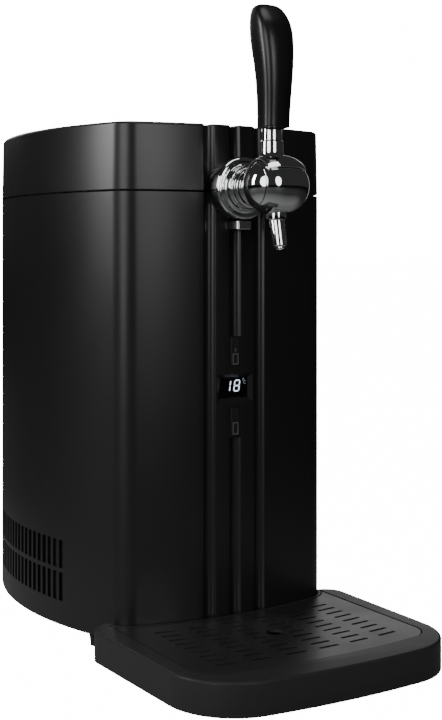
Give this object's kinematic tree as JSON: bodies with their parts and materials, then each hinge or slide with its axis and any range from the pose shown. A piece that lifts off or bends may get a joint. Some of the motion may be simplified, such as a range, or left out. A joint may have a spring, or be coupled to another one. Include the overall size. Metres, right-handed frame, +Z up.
{
  "type": "kegerator",
  "caption": "Countertop keg beer dispenser with a chrome lever tap, hinged lid, temperature display with two keys, and a sliding drip tray",
  "frame": {"origin": "centre of the footprint of the whole object at rest, on the surface it stands on", "axes": "+Z up, -Y towards the tap and the drip tray, +Y to the hinged back, +X to the right as seen from the front"},
  "size_m": [0.236, 0.4365, 0.495],
  "materials": {
    "black_shell": "satin",
    "black_tray": "satin",
    "grate": "satin",
    "handle_black": "satin",
    "chrome": "polished",
    "stainless": "satin",
    "rubber": "matte",
    "white_plastic": "matte",
    "foam": "matte",
    "aluminium": "satin",
    "ceramic": "matte",
    "board": "satin",
    "screw_steel": "satin",
    "smoked_window": "gloss",
    "digit_light": "gloss",
    "key_black": "satin",
    "icon_grey": "matte",
    "copper_brass": "satin"
  },
  "bodies": {
    "housing": {"body_shell": "black_shell", "base_plate": "black_shell", "rubber_feet": "rubber", "base_screws": "screw_steel", "well_liner": "aluminium", "keg_pad": "rubber", "foam_jacket": "foam", "top_deck": "white_plastic", "hinge_bracket": "black_shell", "hinge_pin": "stainless", "hinge_body_screws": "screw_steel", "tap_flange": "chrome", "tap_lug": "chrome", "tap_neck": "chrome", "tap_shank": "stainless", "shank_washer": "stainless", "shank_nut": "copper_brass", "tap_barrel": "chrome", "side_caps": "chrome", "spout_collar": "chrome", "spout_tube": "chrome", "spout_tip": "stainless", "beer_line": "stainless", "keg_coupler": "white_plastic", "gas_regulator": "copper_brass", "gas_sleeve": "aluminium", "cold_block": "aluminium", "thermo_module": "ceramic", "heat_sink": "aluminium", "fan_frame": "key_black", "rear_grille": "black_shell", "grille_screws": "screw_steel", "power_board": "board", "power_inlet": "key_black", "display_window": "smoked_window", "display_digits": "digit_light", "display_module": "key_black", "control_board": "board"},
    "lid": {"lid_cover": "black_shell", "lid_liner": "white_plastic", "lid_foam": "foam", "lid_seal": "rubber", "hinge_leaf": "black_shell", "hinge_lid_screws": "screw_steel"},
    "lever": {"lever_saddle": "chrome", "lever_handle": "handle_black", "handle_stud": "stainless", "valve_stem": "stainless", "valve_core": "ceramic", "valve_seals": "rubber"},
    "key_up": {"button_up": "key_black", "icon_up": "icon_grey"},
    "key_down": {"button_down": "key_black", "icon_down": "icon_grey"},
    "gas_dial": {"gas_knob": "key_black"},
    "fan": {"fan_rotor": "key_black"},
    "tray": {"drip_tray": "black_tray"},
    "grate": {"drip_grate": "grate"}
  },
  "joints": [
    {"name": "lid_hinge", "type": "hinge", "parent": "housing", "child": "lid", "pos_m": [0, 0.21375, 0.35], "axis": [-1, 0, 0], "range_deg": [0, 78]},
    {"name": "tap_lever", "type": "hinge", "parent": "housing", "child": "lever", "pos_m": [0, -0.126, 0.3575], "axis": [1, 0, 0], "range_deg": [0, 35]},
    {"name": "key_up_press", "type": "slide", "parent": "housing", "child": "key_up", "axis": [0, 1, 0], "range_m": [0, 0.001], "stiffness_N_per_m": 400},
    {"name": "key_down_press", "type": "slide", "parent": "housing", "child": "key_down", "axis": [0, 1, 0], "range_m": [0, 0.001], "stiffness_N_per_m": 400},
    {"name": "gas_dial_turn", "type": "hinge", "parent": "housing", "child": "gas_dial", "pos_m": [0.034, 0.04175, 0.331], "axis": [0, 0, 1], "range_deg": [0, 270]},
    {"name": "fan_spin", "type": "hinge", "parent": "housing", "child": "fan", "pos_m": [0, 0.195, 0.15], "axis": [0, 1, 0], "continuous": true},
    {"name": "tray_slide", "type": "slide", "parent": "housing", "child": "tray", "axis": [0, -1, 0], "range_m": [0, 0.15]},
    {"name": "grate_lift", "type": "slide", "parent": "tray", "child": "grate", "axis": [0, 0, 1], "range_m": [0, 0.08]}
  ]
}
